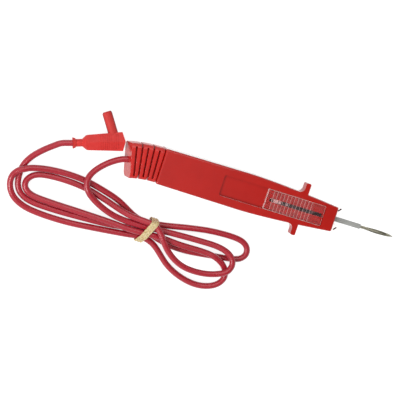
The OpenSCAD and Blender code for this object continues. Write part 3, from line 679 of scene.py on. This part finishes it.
class Bench:
    """Short ways to model a piece with Blender's own tools."""

    @staticmethod
    def clear_selection() -> None:
        """Deselect every object."""
        if bpy.context.object and bpy.context.object.mode != "OBJECT":
            bpy.ops.object.mode_set(mode="OBJECT")
        bpy.ops.object.select_all(action="DESELECT")

    @staticmethod
    def focus(first: bpy.types.Object, *others: bpy.types.Object) -> None:
        """Select some objects and no others, and make the first the active one.

        Args:
            first: The one to work on.
            *others: What is selected with it.
        """
        Bench.clear_selection()
        for obj in (first, *others):
            obj.select_set(True)
        bpy.context.view_layer.objects.active = first

    @staticmethod
    def adopt(name: str) -> bpy.types.Object:
        """Name the object that a tool has just added.

        Args:
            name: Its new name, for the object and its mesh.

        Returns:
            The object.
        """
        made = bpy.context.object
        made.name = made.data.name = name
        return made

    @staticmethod
    def settle(obj: bpy.types.Object) -> None:
        """Bring an object's place, turn and size into its mesh."""
        Bench.focus(obj)
        bpy.ops.object.transform_apply(location=True, rotation=True, scale=True)

    @staticmethod
    def edit(obj: bpy.types.Object, kind: Part = Part.FACE) -> None:
        """Enter edit mode on one object with nothing selected.

        Args:
            obj: The mesh object to edit.
            kind: What will be selected.
        """
        Bench.focus(obj)
        bpy.ops.object.mode_set(mode="EDIT")
        bpy.ops.mesh.select_mode(type=kind.name)
        bpy.ops.mesh.select_all(action="DESELECT")

    @staticmethod
    def pick(obj: bpy.types.Object, kind: Part, test: Callable[[Any], bool]) -> None:
        """Select the corners, edges or faces of the edited object that pass a test.

        Args:
            obj: The object in edit mode.
            kind: What is selected.
            test: Says whether one of them is.
        """
        bpy.ops.mesh.select_mode(type=kind.name)
        bpy.ops.mesh.select_all(action="DESELECT")
        mesh = bmesh.from_edit_mesh(obj.data)
        mesh.normal_update()
        for part in getattr(mesh, kind.value):
            if test(part):
                part.select_set(True)
        mesh.select_flush_mode()
        bmesh.update_edit_mesh(obj.data)

    @staticmethod
    def cut(point: Vector, way: Sequence[float]) -> None:
        """Cut the whole edited mesh along a plane, and keep both sides.

        Args:
            point: A point of the plane.
            way: The plane's normal.
        """
        bpy.ops.mesh.select_all(action="SELECT")
        bpy.ops.mesh.bisect(plane_co=point, plane_no=way)

    @staticmethod
    def done() -> None:
        """Leave edit mode."""
        bpy.ops.object.mode_set(mode="OBJECT")

    @staticmethod
    def modify(obj: bpy.types.Object, kind: str, **settings: object) -> None:
        """Add a modifier and apply it.

        Args:
            obj: The object.
            kind: The modifier's type name.
            **settings: What the modifier is set to.
        """
        Bench.focus(obj)
        made = obj.modifiers.new(kind.title(), kind)
        for key, value in settings.items():
            setattr(made, key, value)
        bpy.ops.object.modifier_apply(modifier=made.name)

    @staticmethod
    def smooth(obj: bpy.types.Object, degrees: float) -> None:
        """Shade an object smooth, except across edges as sharp as an angle or sharper."""
        Bench.focus(obj)
        bpy.ops.object.shade_smooth_by_angle(angle=math.radians(degrees))

    @staticmethod
    def paint(obj: bpy.types.Object, *finishes: Finish) -> None:
        """Give an object its finishes, in the order of its faces' material numbers.

        Args:
            obj: The object.
            *finishes: Its finishes.
        """
        obj.data.materials.clear()
        for finish in finishes:
            obj.data.materials.append(MATERIALS[finish])

    @staticmethod
    def merged_copy(solid: bpy.types.Object, name: str) -> bpy.types.Object:
        """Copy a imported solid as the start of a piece, with its loose triangles joined.

        Args:
            solid: The solid.
            name: The new piece's name.

        Returns:
            The copy, with one face for each flat face of the solid.
        """
        made = bpy.data.objects.new(name, solid.data.copy())
        made.data.name = name
        bpy.context.scene.collection.objects.link(made)
        Bench.edit(made, Part.VERT)
        bpy.ops.mesh.select_all(action="SELECT")
        bpy.ops.mesh.customdata_custom_splitnormals_clear()
        bpy.ops.mesh.remove_doubles(threshold=MERGE)
        bpy.ops.mesh.dissolve_limited(angle_limit=math.radians(0.5))
        Bench.done()
        return made

    @staticmethod
    def seat(obj: bpy.types.Object, body: Body, slot: Slot, node: str) -> bpy.types.Object:
        """Give a finished piece its place in the model.

        Args:
            obj: The piece.
            body: The body that it moves with.
            slot: Not used.
            node: The solid that it stands for.

        Returns:
            The piece.
        """
        Bench.settle(obj)
        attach(obj, body.value)
        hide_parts(node)
        LOG.info("%s made, %d corners", obj.name, len(obj.data.vertices))
        return obj


@dataclass(frozen=True)
class Softbox:
    """A square lamp that faces the object: its place and size in metres, its power in watts."""

    name: str
    spot: tuple[float, float, float]
    size: float
    power: float

    def build(self) -> None:
        """Hang the lamp."""
        data = bpy.data.lights.new(self.name, "AREA")
        data.shape, data.size, data.energy = "SQUARE", self.size, self.power
        lamp = bpy.data.objects.new(self.name, data)
        bpy.context.scene.collection.objects.link(lamp)
        lamp.location = self.spot
        lamp.rotation_mode = "QUATERNION"
        lamp.rotation_quaternion = Vector(self.spot).to_track_quat("Z", "Y")


@dataclass
class Studio:
    """The white floor and surroundings, the soft lamps and the camera.

    Attributes:
        target: What the camera looks at, in millimetres, and distance how far it is from there.
        tilt: How far it leans from straight above, along and across the probe, and roll its turn.
        sensor: The sensor's width in millimetres, and focal_share the lens's length over it.
        clip: The nearest and the farthest that it sees, in metres.
        floor_size: The floor's width in metres, and floor_drop its depth below the object.
        floor_white: The floor as other rays meet it, and floor_matt its roughness.
        floor_lit: The part of the floor's white that the lamps light, and floor_glow the rest.
        ambient: What the surroundings give to the object.
        panel: How bright they mirror overhead at the tail, and panel_end at the tip.
        glare: How bright the floor and the surroundings mirror at its level.
        fade: Between which directions along X the panel fades, and rise the same upwards for glare.
        lamps: A soft key lamp behind the tail and a wide, weaker lamp over the front.
    """

    target: tuple[float, float, float] = (-48.71, -17.37, 10.0)
    distance: float = 1000.0
    tilt: tuple[float, float] = (14.0, 5.5)
    roll: float = 18.271
    sensor: float = 36.0
    focal_share: float = 1257.6 / 400
    clip: tuple[float, float] = (0.05, 20.0)
    floor_size: float = 9.0
    floor_drop: float = 0.0001
    floor_white: float = 0.8
    floor_matt: float = 0.9
    floor_lit: float = 0.4
    floor_glow: float = 0.85
    ambient: float = 0.4
    panel: float = 1.1
    panel_end: float = 0.02
    glare: float = 1.15
    fade: tuple[float, float] = (0.12, 0.4)
    rise: tuple[float, float] = (0.25, 0.85)
    lamps: tuple[Softbox, ...] = (
        Softbox("Key_Softbox", (-0.62, -0.42, 0.72), 0.4, 5.6),
        Softbox("Fill_Softbox", (-0.3, 0.8, 1.4), 1.2, 7.0),
    )

    def build_camera(self) -> None:
        """Set the camera at the photograph's viewing angle."""
        along, across = (math.sin(math.radians(angle)) for angle in self.tilt)
        back = Vector((-along, across, 0))
        back.z = math.sqrt(1 - back.length_squared)
        right = Vector((0, 1, 0)).cross(back).normalized()
        up = back.cross(right)
        turn = math.radians(self.roll)
        sideways = math.cos(turn) * right + math.sin(turn) * up
        upwards = math.cos(turn) * up - math.sin(turn) * right
        data = bpy.data.cameras.new("Camera")
        data.sensor_width = self.sensor
        data.lens = data.sensor_width * self.focal_share
        data.clip_start, data.clip_end = self.clip
        camera = bpy.data.objects.new("Camera", data)
        bpy.context.scene.collection.objects.link(camera)
        spot = Vector(self.target) * MM + back * self.distance * MM
        turned = Matrix((sideways, upwards, back)).transposed().to_4x4()
        camera.matrix_world = Matrix.Translation(spot) @ turned
        bpy.context.scene.camera = camera

    def build_floor(self) -> None:
        """Lay a white floor that keeps the object's soft shadow."""
        Bench.clear_selection()
        spot = (0, 0, -self.floor_drop)
        bpy.ops.mesh.primitive_plane_add(size=self.floor_size, location=spot)
        floor = Bench.adopt("Floor")
        graph = Graph("Floor_White")
        graph.shade(Base_Color=grey(self.floor_white), Roughness=self.floor_matt)
        graph.shade(Specular_IOR_Level=0.0)
        glowing = graph.node("ShaderNodeEmission")
        glowing.inputs["Strength"].default_value = self.floor_glow
        lit = graph.node("ShaderNodeBsdfDiffuse")
        lit.inputs["Color"].default_value = grey(self.floor_lit)
        seen = graph.node("ShaderNodeAddShader")
        graph.join(glowing.outputs[0], seen.inputs[0])
        graph.join(lit.outputs[0], seen.inputs[1])
        path = graph.node("ShaderNodeLightPath").outputs
        mirrored = graph.node("ShaderNodeEmission")
        strength = graph.math("MULTIPLY_ADD", path["Is Glossy Ray"], self.glare - 1.0, 1.0)
        graph.join(strength, mirrored.inputs["Strength"])
        through = graph.math("MAXIMUM", path["Is Glossy Ray"], path["Is Transmission Ray"])
        shown = graph.shader
        for share, other in ((path["Is Camera Ray"], seen), (through, mirrored)):
            mix = graph.node("ShaderNodeMixShader")
            for target, source in zip(mix.inputs, (share, shown.outputs[0], other.outputs[0])):
                graph.join(source, target)
            shown = mix
        graph.join(shown.outputs[0], graph.output.inputs["Surface"])
        floor.data.materials.append(graph.material)

    def build_world(self) -> None:
        """Surround the scene with white, which is mirrored darker overhead towards the tip."""
        world = bpy.data.worlds.new("White")
        bpy.context.scene.world = world
        sky = NodeTree(world)
        way = sky.node("ShaderNodeSeparateXYZ")
        sky.join(sky.node("ShaderNodeTexCoord").outputs["Generated"], way.inputs[0])
        overhead = sky.span(
            way.outputs["X"], *self.fade, self.panel, self.panel_end, ease="SMOOTHSTEP"
        )
        low = sky.span(way.outputs["Z"], *self.rise, self.glare, 0.0, ease="SMOOTHSTEP")
        path = sky.node("ShaderNodeLightPath").outputs
        sight = sky.math("MAXIMUM", path["Is Camera Ray"], path["Is Transmission Ray"])
        height = sky.math("MAXIMUM", low, overhead)
        mirrored = sky.math("MULTIPLY", height, path["Is Glossy Ray"])
        spread = sky.math("MULTIPLY", path["Is Diffuse Ray"], self.ambient)
        level = sky.math("MAXIMUM", sky.math("MAXIMUM", mirrored, spread), sight)
        background = sky.node("ShaderNodeBackground")
        background.inputs["Color"].default_value = grey(1.0)
        sky.join(level, background.inputs["Strength"])
        output = sky.node("ShaderNodeOutputWorld")
        sky.join(background.outputs[0], output.inputs["Surface"])

    def build(self) -> None:
        """Make the whole studio."""
        self.build_camera()
        self.build_floor()
        self.build_world()
        for lamp in self.lamps:
            lamp.build()
        bpy.context.scene.view_settings.view_transform = "Standard"
        LOG.info("studio made")


@dataclass
class TestLead:
    """The free lead: one smooth curve through its route, from the boot's end to the plug.

    Attributes:
        diameter: Its thickness in millimetres, and length its length, which is not used.
        route: The points that it passes through.
        step: Distance of the curve's points in millimetres.
        per_span: How many points are worked out between two of the route.
        facets: How finely its round section is divided.
    """

    diameter: float = 5.0
    length: float = 1264.0
    route: Sequence[tuple[float, float, float]] = LEAD_ROUTE
    step: float = 1.6
    per_span: int = 16
    facets: int = 5

    def smooth_points(self) -> list[Vector]:
        """Points of a centripetal curve through the route.

        Returns:
            Points in metres in the row frame, close together but unevenly spaced.
        """
        points = [place(*p) for p in self.route]
        points = [2 * points[0] - points[1], *points, 2 * points[-1] - points[-2]]
        curve: list[Vector] = []
        for i in range(1, len(points) - 2):
            a, b, c, d = points[i - 1 : i + 3]
            t1 = math.sqrt((b - a).length)
            t2 = t1 + math.sqrt((c - b).length)
            t3 = t2 + math.sqrt((d - c).length)
            for k in range(self.per_span):
                t = t1 + (t2 - t1) * k / self.per_span
                here = (t - t1) / (t2 - t1)
                ab, bc, cd = a.lerp(b, t / t1), b.lerp(c, here), c.lerp(d, (t - t2) / (t3 - t2))
                curve.append(ab.lerp(bc, t / t2).lerp(bc.lerp(cd, (t - t1) / (t3 - t1)), here))
        return [*curve, points[-2]]

    def even_points(self) -> list[Vector]:
        """Space the smooth curve's points evenly.

        Returns:
            Points in metres in the row frame, from one end to the other.
        """
        curve = self.smooth_points()
        reach = [0.0]
        for before, after in zip(curve, curve[1:]):
            reach.append(reach[-1] + (after - before).length)
        count = round(reach[-1] / (self.step * MM))
        even, i = [], 0
        for k in range(count):
            want = reach[-1] * k / count
            while reach[i + 1] < want:
                i += 1
            share = (want - reach[i]) / (reach[i + 1] - reach[i])
            even.append(curve[i].lerp(curve[i + 1], share))
        return [*even, curve[-1]]

    def build(self) -> bpy.types.Object:
        """Make the lead as a round curve.

        Returns:
            The curve object, riding on the housing.
        """
        points = self.even_points()
        data = bpy.data.curves.new("test_lead", "CURVE")
        data.dimensions = "3D"
        data.bevel_depth = self.diameter / 2 * MM
        data.bevel_resolution = self.facets
        data.use_fill_caps = True
        spline = data.splines.new("POLY")
        spline.points.add(len(points) - 1)
        for spot, point in zip(spline.points, points):
            spot.co = (*point, 1)
        spline.use_smooth = True
        lead = bpy.data.objects.new("test_lead", data)
        bpy.context.scene.collection.objects.link(lead)
        data.materials.append(MATERIALS[Finish.LEAD])
        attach(lead, Body.HOUSING.value)
        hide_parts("lead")
        LOG.info("%s made, %d points", lead.name, len(points))
        return lead


@dataclass
class ThumbSlide:
    """The clear slide: fine ribs at its tail end, sawtooth ribs over most of it, and a plain pad.

    All sizes are in millimetres, with lengths from the joint and heights from the floor.

    Attributes:
        x_start: The plate's tail end, and x_end its tip end.
        half_width: Half the plate's width.
        under: Height of the plate's under side, and face of its upper side.
        crest: Height of the coarse ribs' crests, and low_crest of the fine ones'.
        fine_ribs: How far from the tail end the fine ribs start, their pitch and their number.
        coarse_ribs: The same of the coarse ribs.
        rib_shares: The shares of its pitch at which a rib has its crest and has fallen again.
        stem: The stem's two ends along the probe, half its width, and the height of its foot.
        corner: Radius of the plate's corners.
        crest_bevel: How far the crests are rounded, and rim_bevel the plate's upper rim; both
            roundings carry the painted highlight.
    """

    x_start: float = 89.05
    x_end: float = 139.05
    half_width: float = 8.3
    under: float = 17.9
    face: float = 19.9
    crest: float = 20.7
    low_crest: float = 20.1
    fine_ribs: tuple[float, float, int] = (0.5, 1.3, 3)
    coarse_ribs: tuple[float, float, int] = (4.45, 3.0, 12)
    rib_shares: tuple[float, float] = (0.12, 0.85)
    stem: tuple[float, float, float, float] = (130.05, 138.05, 1.35, 13.6)
    corner: float = 0.7
    crest_bevel: float = 0.1
    rim_bevel: float = 0.2

    def rib_places(self, ribs: tuple[float, float, int]) -> list[tuple[float, float, float]]:
        """Where each rib of a row starts to rise, has its crest and has fallen again.

        Args:
            ribs: The row's start on the plate, its pitch and its number of ribs.

        Returns:
            Three lengths along the probe for each rib.
        """
        start, pitch, count = ribs
        crest, end = self.rib_shares
        feet = (self.x_start + start + k * pitch for k in range(count))
        return [(foot, foot + crest * pitch, foot + end * pitch) for foot in feet]

    def build(self) -> bpy.types.Object:
        """Model the slide from one block.

        Returns:
            The slide, riding on the slider.
        """
        middle = place((self.x_start + self.x_end) / 2, 0, (self.under + self.face) / 2)
        bpy.ops.mesh.primitive_cube_add(size=1, location=middle)
        slide = Bench.adopt("clear_slide")
        length, height = self.x_end - self.x_start, self.face - self.under
        slide.scale = Vector((length, 2 * self.half_width, height)) * MM
        Bench.settle(slide)
        # The second material is a painted highlight for the rounded crests and rim.
        Bench.paint(slide, Finish.CLEAR, Finish.RUBBED)
        Bench.edit(slide)
        rows = [self.rib_places(self.fine_ribs), self.rib_places(self.coarse_ribs)]
        for x in (x for row in rows for rib in row for x in rib):
            Bench.cut(place(x, 0, 0), (1, 0, 0))
        for row, high in zip(rows, (self.low_crest, self.crest)):
            self.raise_crests(slide, [place(rib[1], 0, 0).x for rib in row], high)
        self.add_stem(slide)
        self.round_corners(slide)
        self.paint_edge_highlights(slide)
        Bench.done()
        return Bench.seat(slide, Body.SLIDER, Slot.CLEAR, "thumb_slide")

    def raise_crests(self, slide: bpy.types.Object, crests: list[float], high: float) -> None:
        """Lift the crests of a row of ribs out of the plate's face.

        Args:
            slide: The slide in edit mode.
            crests: Where they are along X, in metres.
            high: The height that they get.
        """
        top = self.face * MM
        Bench.pick(slide, Part.VERT, lambda v: abs(v.co.z - top) < TOUCH
                   and min(abs(v.co.x - x) for x in crests) < TOUCH)
        bpy.ops.transform.translate(value=(0, 0, (high - self.face) * MM))

    def add_stem(self, slide: bpy.types.Object) -> None:
        """Draw the stem down out of the plate's under side.

        Args:
            slide: The slide in edit mode.
        """
        *ends, half, foot = self.stem
        cuts = [(place(x, 0, 0), (1, 0, 0)) for x in ends]
        cuts += [(place(0, y, 0), (0, 1, 0)) for y in (half, -half)]
        for point, way in cuts:
            Bench.pick(slide, Part.FACE, lambda f: f.normal.z < -LEVEL)
            bpy.ops.mesh.bisect(plane_co=point, plane_no=way)
        left, right = (place(x, 0, 0).x for x in ends)
        Bench.pick(slide, Part.FACE, lambda f: f.normal.z < -LEVEL
                   and left < f.calc_center_median().x < right
                   and abs(f.calc_center_median().y) < half * MM)
        down = (0, 0, (foot - self.under) * MM)
        bpy.ops.mesh.extrude_region_move(TRANSFORM_OT_translate={"value": down})

    def round_corners(self, slide: bpy.types.Object) -> None:
        """Round the plate's four upright corners.

        Args:
            slide: The slide in edit mode.
        """
        ends = (place(self.x_start, 0, 0).x, place(self.x_end, 0, 0).x)
        side = self.half_width * MM
        Bench.pick(slide, Part.EDGE, lambda e: all(
            abs(abs(v.co.y) - side) < TOUCH and min(abs(v.co.x - x) for x in ends) < TOUCH
            for v in e.verts) and abs(e.verts[0].co.z - e.verts[1].co.z) > STANDING)
        bpy.ops.mesh.bevel(offset=self.corner * MM, segments=3)

    def paint_edge_highlights(self, slide: bpy.types.Object) -> None:
        """Round the coarse ribs' crests and the plate's upper rim, and give them the pale material
        that paints their highlight.

        Args:
            slide: The slide in edit mode.
        """
        high = self.crest * MM
        Bench.pick(slide, Part.EDGE, lambda e: all(v.co.z > high - TOUCH for v in e.verts)
                   and len(e.link_faces) == 2 and all(f.normal.z > RISING for f in e.link_faces))
        bpy.ops.mesh.bevel(offset=self.crest_bevel * MM, segments=2, material=1)
        Bench.pick(slide, Part.EDGE, lambda e: len(e.link_faces) == 2
                   and max(f.normal.z for f in e.link_faces) > RISING
                   and abs(min(f.normal.z for f in e.link_faces)) < WALL)
        bpy.ops.mesh.bevel(offset=self.rim_bevel * MM, segments=2, material=1)


@dataclass
class BentBoot:
    """The strain relief: its end face leans out at the foot, and its ribs have soft edges.

    All sizes are in millimetres, with heights from the floor, and all angles in degrees.

    Attributes:
        slant: How far the end face leans out at its foot.
        foot: Height of the boot's under side, and head of its upper side.
        end_depth: How far behind the end face a corner still belongs to it.
        bend: How far the boot turns, and radius the radius of its middle line.
        edge: Radius of its soft edges, and sharp the angle from which an edge gets it.
        web_half: Half the width of the web, a sheet that fills the slots' middle and stands in for
            their shade, and web_length its length.
        web_heights: The web's under and upper side, and web_steps how finely it bends.
    """

    slant: float = 2.4
    foot: float = 0.5
    head: float = 19.5
    end_depth: float = 0.2
    bend: float = 14.0
    radius: float = 99.45
    edge: float = 0.35
    sharp: float = 50.0
    web_half: float = 11.0
    web_heights: tuple[float, float] = (6.0, 15.0)
    web_length: float = 22.0
    web_steps: int = 8

    def build(self, solid: bpy.types.Object) -> bpy.types.Object:
        """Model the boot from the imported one.

        Args:
            solid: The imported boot.

        Returns:
            The boot, riding on the housing.
        """
        boot = Bench.merged_copy(solid, "slotted_boot")
        self.lean_end(boot)
        Bench.modify(boot, "BEVEL", width=self.edge * MM, segments=2, limit_method="ANGLE",
                     angle_limit=math.radians(self.sharp), use_clamp_overlap=True)
        Bench.smooth(boot, self.sharp)
        Bench.modify(boot, "WEIGHTED_NORMAL", keep_sharp=True)
        # The web is a sheet that stands in for the shade inside the slots.
        web = self.build_shade_web()
        Bench.focus(boot, web)
        bpy.ops.object.join()
        Bench.paint(boot, Finish.BOOT)
        return Bench.seat(boot, Body.HOUSING, Slot.BOOT, "strain_relief")

    def lean_end(self, boot: bpy.types.Object) -> None:
        """Draw the end face out, more the lower it is.

        Args:
            boot: The boot's object.
        """
        turn = math.radians(self.bend)
        outward = Vector((-math.cos(turn), -math.sin(turn), 0))
        end = max(v.co.dot(outward) for v in boot.data.vertices) - self.end_depth * MM
        rows = sorted({round(v.co.z, 6) for v in boot.data.vertices if v.co.dot(outward) > end})
        Bench.edit(boot, Part.VERT)
        for row in rows:
            Bench.pick(boot, Part.VERT, lambda v: v.co.dot(outward) > end
                       and abs(v.co.z - row) < MERGE / 2)
            lean = self.slant * (self.head - row / MM) / (self.head - self.foot)
            bpy.ops.transform.translate(value=outward * lean * MM)
        Bench.done()

    def build_shade_web(self) -> bpy.types.Object:
        """Spin a sheet that closes the middle of the slots, standing in for the shade in them.

        Returns:
            The web, bent as the boot is.
        """
        low, high = self.web_heights
        upright = (0, math.radians(90), 0)
        bpy.ops.mesh.primitive_plane_add(size=1, location=(0, 0, 0), rotation=upright)
        web = Bench.adopt("boot_web")
        web.scale = Vector((high - low, 2 * self.web_half, 1)) * MM
        web.location = place(0, 0, (low + high) / 2)
        Bench.settle(web)
        Bench.edit(web)
        bpy.ops.mesh.select_all(action="SELECT")
        turn = -self.web_length / self.radius
        middle = place(0, -self.radius, 0)
        bpy.ops.mesh.spin(steps=self.web_steps, angle=turn, center=middle, axis=(0, 0, 1))
        bpy.ops.mesh.select_all(action="SELECT")
        bpy.ops.mesh.remove_doubles(threshold=MERGE)
        bpy.ops.mesh.normals_make_consistent(inside=False)
        Bench.done()
        return web


@dataclass
class RoundedShroud:
    """The plug's insulating shroud, with the rounded lip of its open end.

    Attributes:
        axis: The direction of its open end.
        lip: Radius of the lip in millimetres, and lip_steps how finely it is rounded.
        end_depth: How far behind the open end a corner still belongs to it, in millimetres.
        rim_depth: How far inside the widest ring a corner still belongs to that.
        sharp: The angle in degrees from which an edge stays sharp.
    """

    axis: tuple[float, float, float] = (-0.554354, 0.825282, -0.107709)
    lip: float = 1.5
    lip_steps: int = 5
    end_depth: float = 0.1
    rim_depth: float = 0.2
    sharp: float = 35.0

    def build(self, solid: bpy.types.Object) -> bpy.types.Object:
        """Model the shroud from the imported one.

        Args:
            solid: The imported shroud.

        Returns:
            The shroud, riding on the housing.
        """
        shroud = Bench.merged_copy(solid, "rounded_shroud")
        way = Vector(self.axis).normalized()
        end = max(v.co.dot(way) for v in shroud.data.vertices) - self.end_depth * MM
        ring = [v.co for v in shroud.data.vertices if v.co.dot(way) > end]
        middle = sum(ring, Vector()) / len(ring)
        rim = max((point - middle).length for point in ring) - self.rim_depth * MM
        Bench.edit(shroud, Part.EDGE)
        Bench.pick(shroud, Part.EDGE, lambda e: all(
            v.co.dot(way) > end and (v.co - middle).length > rim for v in e.verts))
        bpy.ops.mesh.bevel(offset=self.lip * MM, segments=self.lip_steps)
        Bench.done()
        Bench.smooth(shroud, self.sharp)
        Bench.paint(shroud, Finish.SHROUD)
        return Bench.seat(shroud, Body.HOUSING, Slot.PLUG, "plug_shroud")


@dataclass
class RubberBand:
    """The band: three turns pulled together, their cut sides rounded and dragged out of line.

    Attributes:
        voxel: How finely the turns are grown together, in millimetres.
        soften: How strongly a pass evens them out, and passes how often it does.
        swell: How far they are dragged in and out, in millimetres.
        drag: Size of what is dragged in millimetres, and drag_detail how many layers that has.
        sharp: The angle in degrees from which an edge stays sharp.
    """

    voxel: float = 0.22
    soften: float = 0.5
    passes: int = 6
    swell: float = 0.3
    drag: float = 2.6
    drag_detail: int = 2
    sharp: float = 80.0

    def build(self, solid: bpy.types.Object) -> bpy.types.Object:
        """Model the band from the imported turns.

        Args:
            solid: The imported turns.

        Returns:
            The band, riding on the housing.
        """
        band = Bench.merged_copy(solid, "twisted_band")
        Bench.modify(band, "REMESH", mode="VOXEL", voxel_size=self.voxel * MM)
        Bench.modify(band, "SMOOTH", factor=self.soften, iterations=self.passes)
        cloud = bpy.data.textures.new("Band_Drag", "CLOUDS")
        cloud.noise_scale = self.drag * MM
        cloud.noise_depth = self.drag_detail
        Bench.modify(band, "DISPLACE", texture=cloud, texture_coords="LOCAL",
                     strength=self.swell * MM, mid_level=0.5)
        Bench.smooth(band, self.sharp)
        Bench.paint(band, Finish.BAND)
        return Bench.seat(band, Body.HOUSING, Slot.BAND, "rubber_band")


def dress_solids(nodes: dict[str, bpy.types.Object]) -> None:
    """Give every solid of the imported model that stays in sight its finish.

    Args:
        nodes: The loaded solids by name.
    """
    for finish, names in NODE_FINISHES.items():
        for name in names:
            for entry in nodes[name].material_slots:
                entry.material = MATERIALS[finish]
            LOG.info("%s dressed", name)


def main() -> None:
    """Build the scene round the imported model, in order."""
    logging.basicConfig(level=logging.INFO, format="%(message)s")
    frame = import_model()
    for finish, recipe in RECIPES.items():
        MATERIALS[finish] = recipe.build(finish.value)
    Studio().build()
    lead = TestLead()
    cord = lead.build()
    dress_solids(frame["nodes"])
    band = RubberBand().build(frame["nodes"]["rubber_band"])
    BentBoot().build(frame["nodes"]["strain_relief"])
    shroud = RoundedShroud().build(frame["nodes"]["plug_shroud"])
    ThumbSlide().build()


if __name__ == "__main__":
    main()
